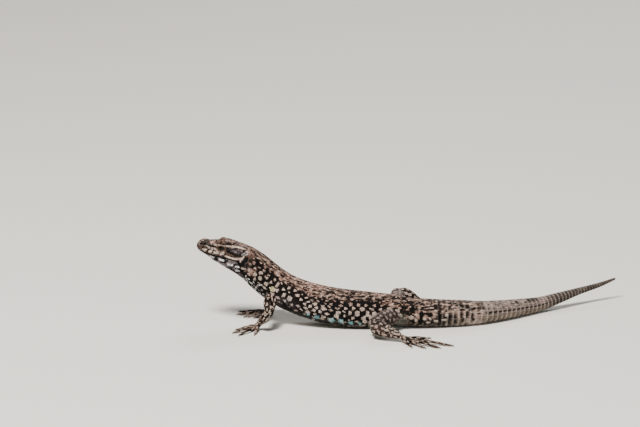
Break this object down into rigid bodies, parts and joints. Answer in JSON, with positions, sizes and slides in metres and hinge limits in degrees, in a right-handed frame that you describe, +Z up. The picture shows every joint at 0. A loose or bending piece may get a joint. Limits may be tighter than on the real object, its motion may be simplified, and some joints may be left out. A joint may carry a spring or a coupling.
{
  "type": "wall lizard",
  "caption": "Life-size still figure of a small wall lizard, resting on its belly with the head raised and the long tail lifted at its end.",
  "frame": {"origin": "on the ground plane, under the middle of the bounding box", "axes": "+Z up, +X from the head towards the tail, the animal's left side faces -Y"},
  "size_m": [0.1117, 0.0458, 0.0224],
  "materials": {
    "head_skin": "head shields, pinkish brown with dark flecks, satin",
    "body_skin": "fine granular scales, brown back, black net with pale spots on the flanks, satin",
    "tail_skin": "keeled scales in rings, greyish brown, satin",
    "limb_skin": "small scales, brown with pale spots, satin",
    "claw": "dark horn, glossy",
    "eye": "wet gloss, dark pupil in a brown iris",
    "ear_drum": "thin dark skin, slightly glossy"
  },
  "bodies": {
    "root": {"eye_left": "eye", "ear_drum_left": "ear_drum", "eye_right": "eye", "ear_drum_right": "ear_drum", "head": "head_skin", "lower_jaw": "head_skin", "neck": "body_skin", "trunk": "body_skin", "tail_root": "tail_skin", "tail_regrown_front": "tail_skin", "tail_regrown_middle": "tail_skin", "tail_regrown_tip": "tail_skin", "upper_arm_left": "limb_skin", "forearm_left": "limb_skin", "hand_left": "limb_skin", "claw_fore_left_1": "claw", "claw_fore_left_2": "claw", "claw_fore_left_3": "claw", "claw_fore_left_4": "claw", "claw_fore_left_5": "claw", "upper_arm_right": "limb_skin", "forearm_right": "limb_skin", "hand_right": "limb_skin", "claw_fore_right_1": "claw", "claw_fore_right_2": "claw", "claw_fore_right_3": "claw", "claw_fore_right_4": "claw", "claw_fore_right_5": "claw", "thigh_left": "limb_skin", "shank_left": "limb_skin", "foot_left": "limb_skin", "claw_hind_left_1": "claw", "claw_hind_left_2": "claw", "claw_hind_left_3": "claw", "claw_hind_left_4": "claw", "claw_hind_left_5": "claw", "thigh_right": "limb_skin", "shank_right": "limb_skin", "foot_right": "limb_skin", "claw_hind_right_1": "claw", "claw_hind_right_2": "claw", "claw_hind_right_3": "claw", "claw_hind_right_4": "claw", "claw_hind_right_5": "claw"}
  },
  "joints": []
}
